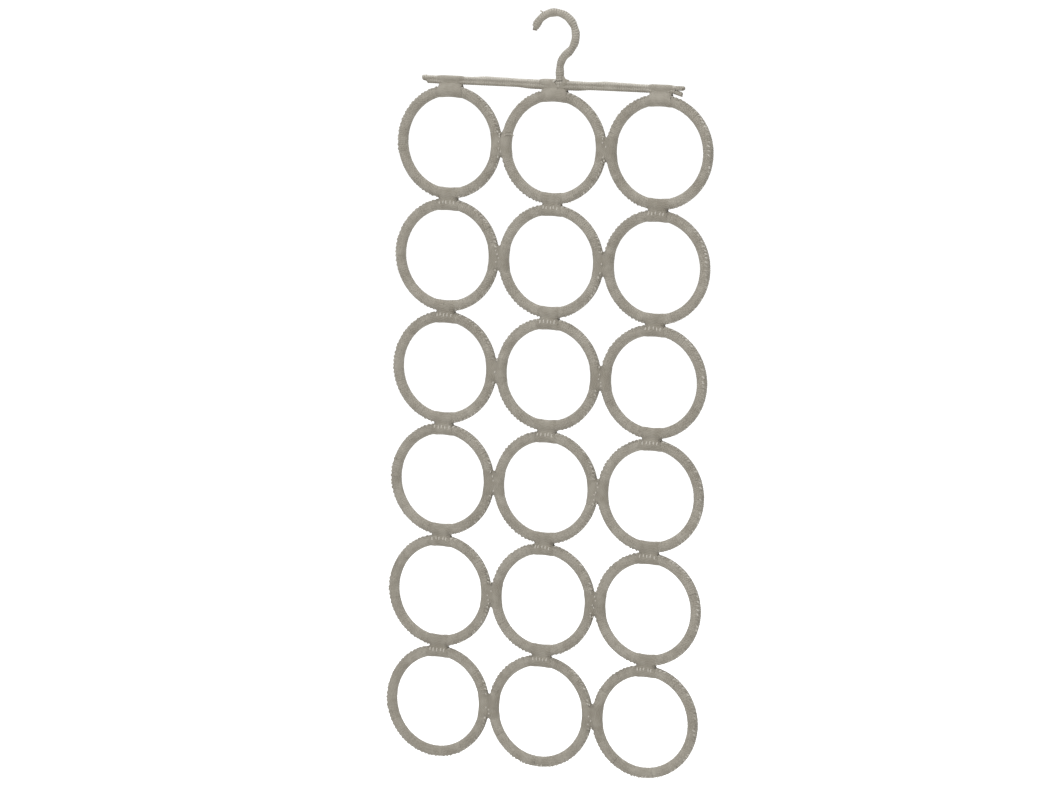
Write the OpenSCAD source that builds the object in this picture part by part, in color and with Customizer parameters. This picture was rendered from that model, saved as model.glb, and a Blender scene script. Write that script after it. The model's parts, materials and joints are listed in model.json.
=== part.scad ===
// Scarf hanger: six hinged rows of three yarn-covered rings that hang from a
// covered wire bar with a closet-rod hook. The origin is the centre of the hook's
// bowl, where the rod lies. X runs along the bar, Y from front to back, Z up.

/* [Panel] */
// Rows of rings, each a rigid row that swings on the one above
rows = 6; // [2:1:6]
// Least gap between the covers of two neighbouring rings
ring_gap = 0.4; // [0.3:0.1:1]

/* [Ring] */
// Clear opening of a ring, where the scarf goes through
ring_hole_d = 78.8; // [60:0.1:100]
// Thickness of the moulded hoop inside the cover
hoop_d = 4.6; // [3:0.1:7]
// Thickness of the yarn cover wound round a hoop
cover_t = 2; // [1:0.1:3]

/* [Lashing] */
// Thickness of the yarn that ties the rings together
lash_d = 1.2; // [0.8:0.1:1.4]
// Reach of a lashing that carries a ring, to either side of the contact
hang_reach = 8.5; // [5:0.1:11]
// Reach of a lashing that ties two rings of a row, to either side of the contact
side_reach = 10.6; // [6:0.1:12]
// Room that a swinging ring has inside its lashing
swing_play = 0.25; // [0.2:0.05:0.6]

/* [Bar] */
// Thickness of each of the two bar wires
bar_wire_d = 2.6; // [2:0.1:3.4]
// Thickness of the yarn wound round both bar wires
bar_cover_t = 0.6; // [0.4:0.1:1]
// Gap from the bar's cover down to the rings of the first row
bar_neck = 1.5; // [1:0.1:4]
// Reach of the bar's upper wire to the left of the middle ring
bar_reach_left = 123; // [100:0.5:140]
// Reach of the bar's upper wire to the right of the middle ring
bar_reach_right = 117.5; // [100:0.5:140]
// Length of bare wire at the right end, where the two wires part
bar_fork = 11; // [10:0.5:16]
// Length of bare upper wire at the left end
bar_tip = 5; // [2:0.5:10]
// Length by which the lower wire stops short of the upper one at the left
bar_stub = 4.5; // [1:0.5:8]
// Length by which it stops short of the upper one at the right
bar_fork_short = 2; // [1:0.5:4]
// Thickness of the second layer of yarn at the middle of the bar
binding_t = 0.7; // [0.4:0.1:0.7]
// Reach of that second layer to the left of the middle ring
binding_reach_left = 36; // [20:1:60]
// Reach of that second layer to the right of the middle ring
binding_reach_right = 34; // [20:1:60]

/* [Hook] */
// Clear width of the hook's bowl, which takes a closet rod
hook_bowl_d = 31.6; // [26:0.2:40]
// Thickness of the hook's steel wire
hook_wire_d = 4; // [3:0.1:5]
// Thickness of the yarn cover on the hook
hook_cover_t = 1.15; // [0.6:0.05:1.6]
// Radius of the neck bend below the bowl
hook_neck_r = 15.5; // [12:0.5:18]
// Height of the bowl's centre above the bar
hook_rise = 41.6; // [38:0.2:60]
// Place of the hook's stem to the right of the middle ring
hook_offset = 4.1; // [3.9:0.1:4.3]
// Angle at which the bowl's wire ends, from the right and over the top
hook_tip_angle = 170; // [140:1:180]
// Angle by which the cover stops short of the wire's tip
hook_bare_angle = 10; // [2:1:20]

/* [Hidden] */
// The three rings of a row, from column -1 to column 1
SIDES = ["left", "middle", "right"];
function ring_name(row, column, piece) = str("row_", row, "_", SIDES[column + 1], "_", piece);
function row_name(row, piece) = str("row_", row, "_", piece);

YARN = "#9d988d";
PLASTIC = "#e4e0d6";
WIRE = "#8f8b82";

// Gap between a wound piece and what it is wound on, and reach of a cut past a face
snug = 0.05;
past = 1;
// Bends lean over by a 3-4-5 or a 7-24-25 triangle, so that every joint lies on a
// round number: the angle, its sine and its cosine
WIDE = [atan(3 / 4), 0.6, 0.8];
SLIGHT = [atan(7 / 24), 0.28, 0.96];
// Of the sideways shift of a leaning strand its two bends take a quarter and its
// slope the rest: their radius, its length and the strand's rise for a shift of 1
BEND_PART = 0.25 / 2 / (1 - WIDE[2]);
SLOPE_PART = 0.75 / WIDE[1];
RISE_PART = 2 * BEND_PART * WIDE[1] + SLOPE_PART * WIDE[2];
// Bend radius where the lower bar wire parts from the upper one
part_bend_r = 5;

function rounded(v) = round(v * 100) / 100;

// Ring: centreline radius, radius of the covered tube and distance to a neighbour
tube_r = hoop_d / 2 + cover_t;
ring_r = ring_hole_d / 2 + tube_r;
ring_pitch = 2 * (ring_r + tube_r) + ring_gap;
tube_gap = 2 * tube_r + ring_gap;
// How far a ring's tube has bent away from its extreme point, x along the contact
function bow(x) = rounded(ring_r - sqrt(ring_r * ring_r - x * x));

// Bar: height of its middle, of both wires and of the first row's centres
bar_z = -hook_rise;
wire_space = bar_wire_d + snug;
upper_wire_z = bar_z + wire_space / 2;
lower_wire_z = bar_z - wire_space / 2;
bar_side = bar_wire_d / 2 + bar_cover_t;
first_row_z = lower_wire_z - bar_side - bar_neck - tube_r - ring_r;
function row_z(row) = first_row_z - (row - 1) * ring_pitch;

// Hook: bend radius of the bowl and the stem's place from the bowl's centre
bowl_r = hook_bowl_d / 2 + hook_cover_t + hook_wire_d / 2;
neck_x = WIDE[1] * (bowl_r + hook_neck_r);
neck_z = -WIDE[2] * (bowl_r + hook_neck_r);
stem_x = neck_x - hook_neck_r;
middle_x = stem_x - hook_offset;
function column_x(column) = middle_x + column * ring_pitch;

// Lashings: radius of a turn that lies close on a ring's tube at x from the contact,
// where the tube leans away from the turn's plane
function close_turn_r(x) = (tube_r + lash_d / 2) / cos(asin(abs(x) / ring_r)) + snug;
// Radii of turns go in steps that keep the ends of both leans on round numbers
TURN_STEP = 0.024;
BAR_TURN_STEP = 0.08;
// The radius of a turn, rounded up to such a step
function turn_r(least) = ceil(least / TURN_STEP - 0.001) * TURN_STEP;
// Sideways step of a turn that leans, half before its middle and half after it
function step_of(radius, lean) = 2 * radius * lean[1] / lean[2];
// A row hinges on a line below its tubes' top centreline, half as far as these bow
// within a lashing, and the lashing's turns there leave room for that
hinge_drop = rounded(bow(hang_reach + lash_d / 2) / 2);
swing_turn_r = turn_r(close_turn_r(hang_reach + lash_d / 2) + swing_play + hinge_drop);
side_turn_r = turn_r(close_turn_r(side_reach) + snug);
// Turns over the bar are drawn in by a shift that keeps their bends on round numbers
bar_turn_least = bar_side + binding_t + snug + lash_d / 2;
bar_turn_r = swing_turn_r - floor((swing_turn_r - bar_turn_least) / BAR_TURN_STEP) * BAR_TURN_STEP;
hinge_z = first_row_z + ring_r - hinge_drop;
bar_turn_z = upper_wire_z - hinge_z;
// Bare end of yarn behind a lashing's first and last turn
lash_tail = 2;

$fn = 64;
LASH_FN = 32;

// A round wire bent in the XZ plane about the origin, from the +X axis upwards
module bend(radius, wire_d, angle) {
    rotate([90, 0, 0])
        rotate_extrude(angle = angle)
            translate([radius, 0]) circle(d = wire_d);
}

// A straight round wire that stands on the point given
module rod(from, height, wire_d) {
    translate(from) cylinder(d = wire_d, h = height);
}

// The part of such a bend, all the way round, that lies within an outline whose
// corners are given in twice the radius
module bend_within(radius, wire_d, corners) {
    rotate([90, 0, 0])
        intersection() {
            rotate_extrude() translate([radius, 0]) circle(d = wire_d);
            linear_extrude(2 * wire_d, center = true) polygon(2 * radius * corners);
        }
}

// Half a turn over the top, in the YZ plane, open downwards
module half_turn(radius) {
    rotate([0, 0, 90]) bend(radius, lash_d, 180);
}

// Half a turn under the bottom, which leans so that its front end, at radius from
// the middle, lies half a step further along X than the middle does
module leaning_half_turn(radius, lean) {
    rotate([0, 0, lean[0]]) mirror([0, 0, 1]) half_turn(radius / lean[2]);
}

// A strand from the point p up to the point q, drawn in on the way by two equal
// bends and a straight slope between them
module strand(p, q) {
    shift = norm([q[0] - p[0], q[1] - p[1]]);
    height = q[2] - p[2];
    bend_r = BEND_PART * shift;
    rise = RISE_PART * shift;
    foot = rounded((height - rise) / 2);
    if (shift < snug) rod(p, height, lash_d);
    else translate(p) rotate([0, 0, atan2(q[1] - p[1], q[0] - p[0])]) {
        rod([0, 0, 0], foot, lash_d);
        translate([bend_r, 0, foot]) mirror([1, 0, 0]) bend(bend_r, lash_d, WIDE[0]);
        translate([bend_r * (1 - WIDE[2]), 0, foot + bend_r * WIDE[1]])
            rotate([0, WIDE[0], 0]) cylinder(d = lash_d, h = SLOPE_PART * shift);
        translate([shift - bend_r, 0, foot + rise])
            mirror([0, 0, 1]) bend(bend_r, lash_d, WIDE[0]);
        rod([shift, 0, foot + rise], height - rise - foot, lash_d);
    }
}

// One unbroken length of yarn wound round two tubes that run along X, one above
// the other. A path gives the turns' places along X, the heights of the lower and
// the upper half turns, their two radii, and the lean of each lower one. Turn i
// leans across below the lower tube, goes up the front at x[i], over the upper
// tube and down the back to the next turn.
module winding(path) {
    x = path[0];
    low = path[1];
    top = path[2];
    low_r = path[3];
    high_r = path[4];
    leans = path[5];
    last = len(x) - 1;
    for (i = [0:last]) {
        translate([x[i] - step_of(low_r, leans[i]) / 2, 0, low[i]])
            leaning_half_turn(low_r, leans[i]);
        strand([x[i], -low_r, low[i]], [x[i], -high_r, top[i]]);
        translate([x[i], 0, top[i]]) half_turn(high_r);
        if (i < last) strand([x[i], low_r, low[i + 1]], [x[i], high_r, top[i]]);
    }
    rod([x[0] - step_of(low_r, leans[0]), low_r, low[0]], lash_tail, lash_d);
    rod([x[last], high_r, top[last] - lash_tail], lash_tail, lash_d);
}

// Points along the middle of a winding's yarn, so many to each stretch of a turn
POINTS = 12;
function middle_points(path) = [
    for (i = [0:len(path[0]) - 1], part = [0:3], k = [0:POINTS - 1])
        let (a = 180 * k / POINTS, t = k / POINTS, x = path[0][i], low = path[1][i],
             height = path[2][i] - low, low_r = path[3], high_r = path[4], lean = path[5][i],
             half = step_of(low_r, lean) / 2,
             rise = RISE_PART * (low_r - high_r),
             z = (part == 1 ? t : 1 - t) * height,
             drawn = min(1, max(0, (z - (height - rise) / 2) / max(rise, snug))),
             y = low_r + drawn * (high_r - low_r))
            part == 0 ? [x - half - cos(a) * half, low_r * cos(a), low - low_r / lean[2] * sin(a)]
            : part == 1 ? [x, -y, low + z]
            : part == 2 ? [x, -high_r * cos(a), low + height + high_r * sin(a)]
            : [x, y, low + z]];

// Least gap of a winding to itself, between points that are half a stretch or more apart
function least_gap(path) =
    let (p = middle_points(path))
        min([for (i = [0:len(p) - 1], j = [i + POINTS / 2:1:len(p) - 1]) norm(p[i] - p[j])]) - lash_d;

// Places of the turns that fit within so much to either side of the contact
function places(reach, step) =
    let (turns = floor(2 * reach / step)) [for (i = [1:turns]) (i - turns / 2) * step];

// Ties a ring to the ring above it. The origin is on the hinge line below the
// contact, and the turns' tops lie close on the upper ring.
function hang_path() =
    let (x = places(hang_reach, step_of(swing_turn_r, SLIGHT)),
         top = [for (i = x) rounded(tube_gap + hinge_drop + bow(i) - swing_turn_r + close_turn_r(i))])
        [x, 0 * x, top, swing_turn_r, swing_turn_r, [for (i = x) SLIGHT]];

// Ties two rings that lie one above the other. The origin is the point of contact,
// and each half turn lies close on its ring.
function side_path() =
    let (step = step_of(side_turn_r, SLIGHT),
         x = places(side_reach, step),
         low = [for (i = x) -rounded(tube_gap / 2 + bow(i - step / 2))],
         top = [for (i = x) rounded(tube_gap / 2 + bow(i))])
        [x, low, top, side_turn_r, side_turn_r, [for (i = x) SLIGHT]];

// Ties a ring of the first row to the bar. The origin is on the hinge line.
function bar_path() =
    let (x = places(hang_reach, step_of(swing_turn_r, SLIGHT)),
         top = bar_turn_z - bar_turn_r + bar_side + lash_d / 2 + snug)
        [x, 0 * x, [for (i = x) top], swing_turn_r, bar_turn_r, [for (i = x) SLIGHT]];

// The same at the middle ring, over the bar's binding: the hook's stem stands
// between its last two turns, so the last one leans more
function stem_path() =
    let (step = step_of(swing_turn_r, SLIGHT),
         pass = step_of(swing_turn_r, WIDE),
         left = floor((hang_reach + hook_offset - pass / 2) / step),
         x = concat([for (i = [left - 1:-1:0]) hook_offset - pass / 2 - i * step],
                    [hook_offset + pass / 2]))
        [x, 0 * x, [for (i = x) bar_turn_z], swing_turn_r, bar_turn_r,
         [for (i = [0:left]) i < left ? SLIGHT : WIDE]];

// Outline across both bar wires with so much from a wire's centre to the outside
module bar_outline(side) {
    for (end = [-0.5, 0.5]) translate([end * wire_space, 0]) circle(r = side);
    square([wire_space, 2 * side], center = true);
}

// What the children outline across the bar, drawn out from one place along it to another
module along_bar(from, to) {
    translate([from, 0, bar_z]) rotate([0, 90, 0]) linear_extrude(to - from) children();
}

module bar_sleeve(from, to, outer, inner) {
    along_bar(from, to)
        difference() {
            bar_outline(outer);
            bar_outline(inner);
        }
}

// Clear hole for the hook's stem, down to the upper wire's middle
module stem_hole(room) {
    rod([stem_x, 0, upper_wire_z], hook_rise, room);
}

// The hook's centreline as a round wire: bowl, neck bend and stem
module hook_run(wire_d, tip_angle, stem_end) {
    bowl_start = 90 - WIDE[0];
    rotate([0, bowl_start, 0]) bend(bowl_r, wire_d, tip_angle + bowl_start);
    translate([neck_x, 0, neck_z])
        mirror([1, 0, 0])
            bend_within(hook_neck_r, wire_d, [[0, 0], [1, 0], [1, 1], [WIDE[1], WIDE[2]]]);
    rod([stem_x, 0, stem_end], neck_z - stem_end, wire_d);
}

// Steel wire, its lower end cut out to sit on the bar's upper wire
module hook_wire() {
    color(WIRE)
        difference() {
            hook_run(hook_wire_d, hook_tip_angle, upper_wire_z);
            translate([stem_x, 0, upper_wire_z])
                rotate([0, 90, 0])
                    cylinder(d = bar_wire_d + 2 * snug, h = 2 * hook_wire_d, center = true);
        }
}

// Yarn cover of the hook, down to the bar's binding
module hook_cover() {
    cover_d = hook_wire_d + 2 * hook_cover_t;
    color(YARN)
        difference() {
            hook_run(cover_d, hook_tip_angle - hook_bare_angle, upper_wire_z);
            hook_run(hook_wire_d + 2 * snug, hook_tip_angle, upper_wire_z - past);
            along_bar(stem_x - cover_d, stem_x + cover_d) bar_outline(bar_side + binding_t + snug);
        }
}

module bar_upper_wire() {
    length = bar_reach_left + bar_reach_right;
    color(WIRE)
        translate([middle_x - bar_reach_left, 0, upper_wire_z])
            rotate([0, 90, 0]) cylinder(d = bar_wire_d, h = length);
}

// Lower wire, which bends down and away from the upper one at its right end
module bar_lower_wire() {
    start = middle_x - bar_reach_left + bar_stub;
    bend_x = middle_x + bar_reach_right - bar_fork;
    tip = rounded((bar_fork - bar_fork_short - part_bend_r * SLIGHT[1]) / SLIGHT[2]);
    color(WIRE) {
        translate([start, 0, lower_wire_z])
            rotate([0, 90, 0]) cylinder(d = bar_wire_d, h = bend_x - start);
        translate([bend_x, 0, lower_wire_z]) {
            translate([0, 0, -part_bend_r])
                bend_within(part_bend_r, bar_wire_d, [[0, 0], [SLIGHT[1], SLIGHT[2]], [0, 1]]);
            translate([part_bend_r * SLIGHT[1], 0, -part_bend_r * (1 - SLIGHT[2])])
                rotate([0, 90 + SLIGHT[0], 0]) cylinder(d = bar_wire_d, h = tip);
        }
    }
}

module bar_cover() {
    color(YARN)
        difference() {
            bar_sleeve(middle_x - bar_reach_left + bar_tip, middle_x + bar_reach_right - bar_fork,
                       bar_side, bar_wire_d / 2 + snug);
            stem_hole(hook_wire_d + 2 * snug);
        }
}

module bar_binding() {
    color(YARN)
        difference() {
            bar_sleeve(middle_x - binding_reach_left, middle_x + binding_reach_right,
                       bar_side + binding_t, bar_side + snug);
            stem_hole(hook_wire_d + 2 * snug);
        }
}

module bar_lashings() {
    color(YARN)
        for (column = [-1:1])
            translate([column_x(column), 0, hinge_z])
                winding(column == 0 ? stem_path() : bar_path(), $fn = LASH_FN);
}

// Moulded hoop, closed and round
module hoop(row, column) {
    color(PLASTIC)
        translate([column_x(column), 0, row_z(row)])
            rotate([90, 0, 0]) rotate_extrude() translate([ring_r, 0]) circle(d = hoop_d);
}

// Yarn cover, wound round the whole hoop
module cover(row, column) {
    color(YARN)
        translate([column_x(column), 0, row_z(row)])
            rotate([90, 0, 0])
                rotate_extrude()
                    translate([ring_r, 0])
                        difference() {
                            circle(r = tube_r);
                            circle(d = hoop_d + 2 * snug);
                        }
}

module side_lashings(row) {
    color(YARN)
        for (half = [-0.5, 0.5])
            translate([middle_x + half * ring_pitch, 0, row_z(row)])
                rotate([0, 90, 0]) winding(side_path(), $fn = LASH_FN);
}

module hang_lashings(row) {
    color(YARN)
        for (column = [-1:1])
            translate([column_x(column), 0, hinge_z - row * ring_pitch])
                winding(hang_path(), $fn = LASH_FN);
}

union() {
    echo(hang_lashing_gap = least_gap(hang_path()), side_lashing_gap = least_gap(side_path()));
    echo(bar_lashing_gap = least_gap(bar_path()), stem_lashing_gap = least_gap(stem_path()));
}
hook_wire();
hook_cover();
bar_upper_wire();
bar_lower_wire();
bar_cover();
bar_binding();
bar_lashings();
for (row = [1:rows], column = [-1:1]) {
    hoop(row, column);
    cover(row, column);
}
for (row = [1:rows])
    side_lashings(row);
for (row = [1:rows - 1])
    hang_lashings(row);
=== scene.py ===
"""Scarf hanger: yarn-wound rings, lashings, bar and hook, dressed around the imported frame."""

import json
import math
import random

import bpy
from bpy.props import FloatProperty, FloatVectorProperty, IntProperty, PointerProperty
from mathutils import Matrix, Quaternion, Vector


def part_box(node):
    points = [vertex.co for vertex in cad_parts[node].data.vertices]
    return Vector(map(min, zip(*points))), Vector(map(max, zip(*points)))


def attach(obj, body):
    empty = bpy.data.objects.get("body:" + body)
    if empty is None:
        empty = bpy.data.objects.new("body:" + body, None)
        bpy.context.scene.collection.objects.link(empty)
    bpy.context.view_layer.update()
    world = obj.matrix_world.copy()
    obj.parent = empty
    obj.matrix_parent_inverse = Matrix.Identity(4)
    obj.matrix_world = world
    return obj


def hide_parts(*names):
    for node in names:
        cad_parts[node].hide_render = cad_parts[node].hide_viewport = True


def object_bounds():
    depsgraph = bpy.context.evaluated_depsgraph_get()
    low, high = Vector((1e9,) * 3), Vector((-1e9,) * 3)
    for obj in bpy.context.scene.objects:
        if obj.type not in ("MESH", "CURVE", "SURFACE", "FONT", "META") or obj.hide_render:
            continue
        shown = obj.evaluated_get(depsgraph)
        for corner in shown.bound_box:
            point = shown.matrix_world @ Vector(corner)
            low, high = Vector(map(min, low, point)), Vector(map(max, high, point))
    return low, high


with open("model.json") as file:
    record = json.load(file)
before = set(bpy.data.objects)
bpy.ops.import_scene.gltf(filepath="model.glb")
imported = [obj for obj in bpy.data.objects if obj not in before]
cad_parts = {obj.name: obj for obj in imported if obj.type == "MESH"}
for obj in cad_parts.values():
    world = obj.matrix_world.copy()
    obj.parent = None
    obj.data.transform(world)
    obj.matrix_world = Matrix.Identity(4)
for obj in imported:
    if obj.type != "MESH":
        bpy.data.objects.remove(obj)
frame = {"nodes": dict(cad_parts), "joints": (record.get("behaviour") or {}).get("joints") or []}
CAD_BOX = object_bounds()

bl_info = {
    "name": "Scarf Hanger",
    "version": (1, 0, 0),
    "blender": (4, 5, 0),
    "location": "3D View > Sidebar > Hanger",
    "description": "Makes the yarn, the bare wire and the stage of a scarf hanger",
    "category": "Object",
}

MM = 0.001
UP = Vector((0, 0, 1))
DEPTH = Vector((0, 1, 0))
SIDES = ("left", "middle", "right")
FULL = 2 * math.pi

# Rows and hinges that the frame gives
ROWS = sum(name.endswith("_middle_cover") for name in frame["nodes"])
HINGES = {j["child"]: Vector(j["pos_m"]) for j in frame["joints"]}


def middle_and_half(node):
    """Centre and half sizes of a CAD node's box."""
    low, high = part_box(node)
    return (low + high) / 2, (high - low) / 2


RING_MIDDLE, RING_HALF = middle_and_half("row_1_middle_cover")
TUBE_R = RING_HALF.y
RING_R = max(RING_HALF.x, RING_HALF.z) - TUBE_R
RING_PITCH = middle_and_half("row_1_right_cover")[0].x - RING_MIDDLE.x
BAR_MIDDLE, BAR_HALF = middle_and_half("bar_cover")
BINDING_MIDDLE, BINDING_HALF = middle_and_half("bar_binding")
HOOK_MIDDLE, HOOK_HALF = middle_and_half("hook_wire")
HOOK_WIRE_R = HOOK_HALF.y
BOWL_R = HOOK_MIDDLE.x + HOOK_HALF.x - HOOK_WIRE_R
COVER_HALF_DEPTH = middle_and_half("hook_cover")[1].y
# The hook's neck: its radius, its turn, and where it leaves the stem
NECK_R = 15.5 * MM
NECK_TURN = math.atan2(4, 3)
HOOK_STEM_X = math.cos(NECK_TURN) * (BOWL_R + NECK_R) - NECK_R


def length(name, description, size):
    """A length property, its default given in millimetres."""
    return FloatProperty(name=name, description=description, default=size * MM, unit="LENGTH")


def angle(name, description, degrees):
    """An angle property, its default given in degrees."""
    return FloatProperty(name=name, description=description, default=math.radians(degrees),
                         subtype="ANGLE")


def colour(name, description, *rgb):
    return FloatVectorProperty(name=name, description=description, subtype="COLOR", default=rgb)


class YarnSizes(bpy.types.PropertyGroup):
    """Sizes of the yarn that is wound round the rings, the bar and the hook."""

    turn_width: length("Turn width", "Width of one turn of yarn on a ring", 2.5)
    turn_thickness: length("Turn thickness", "Thickness of one turn of yarn on a ring", 1.2)
    turns: IntProperty(name="Turns", description="Turns of yarn round one ring", default=160, min=3)
    proud: length("Proud", "How far the crests of the turns stand above the smooth tube", 0.3)
    knot_length: length("Knot length", "Length of one knot of the ridge along a ring", 2.7)
    lash_width: length("Lashing width", "Width of the yarn that ties the rings", 1.5)
    lash_thickness: length("Lashing thickness", "Thickness of the yarn that ties the rings", 0.5)
    wrap_width: length("Wrap width", "Width of the yarn on the bar and the hook", 2.3)
    wrap_thickness: length("Wrap thickness", "Thickness of the yarn on the bar and the hook", 0.9)


class FinishColours(bpy.types.PropertyGroup):
    """Colours of the yarn, the wire and the hoops."""

    yarn: colour("Yarn", "Main colour of the yarn", 0.325, 0.298, 0.246)
    # Painted shade: the colour of the grooves between the plies
    yarn_dark: colour("Dark yarn", "Colour of the yarn between its plies", 0.215, 0.192, 0.152)
    # Reached by the yarn's random tone, and also by painted light through the lift attribute
    yarn_light: colour("Light yarn", "Colour of the raised fibres", 0.500, 0.470, 0.405)
    # Painted highlight: the colour towards which the lift attribute paints knots, stitches, dots
    # and upward faces
    yarn_painted_highlight: colour("Bright yarn", "Colour of the knots that stand out", 0.680, 0.650, 0.590)
    wire: colour("Wire", "Colour of the painted wire", 0.210, 0.185, 0.150)
    hoop: colour("Hoop", "Colour of the plastic hoops", 0.70, 0.68, 0.62)


class StageSizes(bpy.types.PropertyGroup):
    """Sizes and lights of the stage."""

    floor_drop: length("Floor drop", "Height of the lowest ring above the floor", 120)
    floor_size: length("Floor size", "Width of the floor", 60000)
    camera_azimuth: angle("Camera azimuth", "Turn of the camera from the front to the right", 23.69)
    camera_elevation: angle("Camera elevation", "Height of the camera above the horizon", 6.53)
    camera_roll: angle("Camera roll", "Turn of the camera about its own axis", 1.32)
    camera_distance: length("Camera distance", "Distance to the point it looks at", 3943.7)
    camera_lens: FloatProperty(
        name="Camera lens", description="Focal length, in millimetres for a sensor 36 mm wide",
        default=158.6)
    world_strength: FloatProperty(
        name="World strength", description="Strength of the light from all round", default=0.55)
    key_power: FloatProperty(
        name="Key power", description="Power of the large lamp above the front", default=24.0)


def summed(operation, swapped=False):
    """A method that adds a Math node for a socket and other values."""
    def method(self, *others):
        values = (*others, self) if swapped else (self, *others)
        return self.build.add("ShaderNodeMath", {"operation": operation}, dict(enumerate(values)))
    return method


class Socket:
    """A node's output, on which sums written in Python add Math nodes."""

    def __init__(self, build, link):
        self.build = build
        self.link = link

    __add__ = __radd__ = summed("ADD")
    __sub__ = summed("SUBTRACT")
    __rsub__ = summed("SUBTRACT", True)
    __mul__ = __rmul__ = summed("MULTIPLY")
    __truediv__ = summed("DIVIDE")
    sine = summed("SINE")
    cosine = summed("COSINE")
    greater_of = summed("MAXIMUM")
    lesser_of = summed("MINIMUM")
    power = summed("POWER")

    def __neg__(self):
        return self * -1

    def out(self, name):
        """Another output of the same node."""
        return Socket(self.build, self.link.node.outputs[name])


class Build:
    """A node tree that is being built."""

    def __init__(self, tree):
        self.tree = tree

    def add(self, kind, settings=None, values=None, output=0):
        """Adds a node, sets its settings and then the values or links of its inputs."""
        node = self.tree.nodes.new(kind)
        for name, value in (settings or {}).items():
            setattr(node, name, value)
        self.feed(node, values or {})
        return Socket(self, node.outputs[output] if node.outputs else None)

    def feed(self, node, values):
        """Sets or links inputs of a node."""
        for key, value in values.items():
            if isinstance(value, Socket):
                self.tree.links.new(value.link, node.inputs[key])
            else:
                node.inputs[key].default_value = value

    def vector(self, x, y, z):
        return self.add("ShaderNodeCombineXYZ", values={0: x, 1: y, 2: z})

    def turned(self, rotation, axis, angle):
        """A rotation followed by a turn about an axis."""
        turn = self.add("FunctionNodeAxisAngleToRotation", values={"Axis": axis, "Angle": angle})
        if rotation is None:
            return turn
        return self.add("FunctionNodeRotateRotation", {"rotation_space": "GLOBAL"},
                        {"Rotation": rotation, "Rotate By": turn})

    def random(self, low, high, seed):
        """A random number for each point."""
        return self.add("FunctionNodeRandomValue", {"data_type": "FLOAT"},
                        {2: low, 3: high, 8: seed}, 1)

    def seen(self):
        """1 for the rays that show a surface itself, and 0 for those that light others."""
        path = self.add("ShaderNodeLightPath")
        direct = path.out("Is Camera Ray").greater_of(path.out("Is Glossy Ray"))
        return direct.greater_of(path.out("Is Transmission Ray"))


def opaque(rgb, share=1.0):
    return (*(share * c for c in rgb), 1.0)


def new_material(name):
    """A material with a Principled shader, and its build."""
    material = bpy.data.materials.new(name)
    material.use_nodes = True
    build = Build(material.node_tree)
    return material, build, material.node_tree.nodes["Principled BSDF"]


def attribute(build, name):
    return build.add("ShaderNodeAttribute", {"attribute_name": name}, output=2)


def noise(build, scale, detail, where=None):
    """Noise on the object's own coordinates, scale in bumps per metre."""
    place = where or build.add("ShaderNodeTexCoord", output=3)
    return build.add("ShaderNodeTexNoise", values={
        "Vector": place, "Scale": scale, "Detail": detail})


def mixed(build, factor, first, second):
    return build.add("ShaderNodeMix", {"data_type": "RGBA"}, {0: factor, 6: first, 7: second}, 2)


# Length of one twist of the yarn's plies, and bumps per metre of its fibres and its shades
YARN_TWIST = 2.2 * MM
FIBRE_SCALE = 2600
SHADE_SCALE = 160
PATCH_SCALE = 38
# Shares of those in the yarn's tone, what is taken off their sum, and its contrast
TONE_SHARES = (0.35, 0.55, 0.45)
TONE_OFFSET = 0.46
TONE_CONTRAST = 1.5
# What the colour shows of a turn's own shade, and of the lift attribute in tone and brightness.
# The lift carries painted light: painted highlights on knots, stitches and dots, and lighter
# upward faces
WORN_SHARE = 0.18
LIFT_TONE = 0.7
LIFT_BRIGHT = 0.55
# How soft the painted shade in the dark grooves between the plies is, and how light those grooves
# stay
PLY_SOFTNESS = 0.6
PLY_FLOOR = 0.25
# Depth of the yarn's bumps, and the shares of the plies and the fibres in them
YARN_RELIEF = 0.25 * MM
RELIEF_SHARES = (0.6, 0.8)


def yarn_material(colours):
    """Matte spun yarn: slanting plies, painted shade between them, fine fibres, soft changes of
    shade, painted light.
    """
    material, build, shader = new_material("spun_yarn")
    along = attribute(build, "along")
    around = attribute(build, "around")
    ply = (along * (FULL / YARN_TWIST) + around * FULL).sine() * 0.5 + 0.5
    fibres, shade, patches = (noise(build, scale, detail) for scale, detail in (
        (FIBRE_SCALE, 3), (SHADE_SCALE, 2), (PATCH_SCALE, 2)))
    worn = attribute(build, "shade") * WORN_SHARE
    # Painted shade in the grooves between the plies, a little deeper on turns with more of their
    # own random shade
    groove = ply.power(PLY_SOFTNESS) * (1 - PLY_FLOOR) + PLY_FLOOR
    dark = mixed(build, groove - worn, opaque(colours.yarn_dark), opaque(colours.yarn))
    spread = shade * TONE_SHARES[1] + patches * TONE_SHARES[2] + fibres * TONE_SHARES[0]
    # The lift attribute carries painted light: painted highlights on knots, stitches and dots,
    # lighter upward faces and lighter packing; it also darkens the lashings and the bar
    lift = attribute(build, "lift")
    tone = (spread - TONE_OFFSET) * TONE_CONTRAST + lift * LIFT_TONE
    light = mixed(build, tone.greater_of(0).lesser_of(1), dark, opaque(colours.yarn_light))
    bright = mixed(build, lift * LIFT_BRIGHT, light, opaque(colours.yarn_painted_highlight))
    relief = ply * RELIEF_SHARES[0] + fibres * RELIEF_SHARES[1]
    bump = build.add("ShaderNodeBump", values={
        "Strength": 0.6, "Distance": YARN_RELIEF, "Height": relief})
    build.feed(shader, {
        "Base Color": bright,
        "Roughness": 0.92,
        "Specular IOR Level": 0.2,
        "Sheen Weight": 0.15,
        "Sheen Roughness": 0.6,
        "Normal": bump,
    })
    return material


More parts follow.
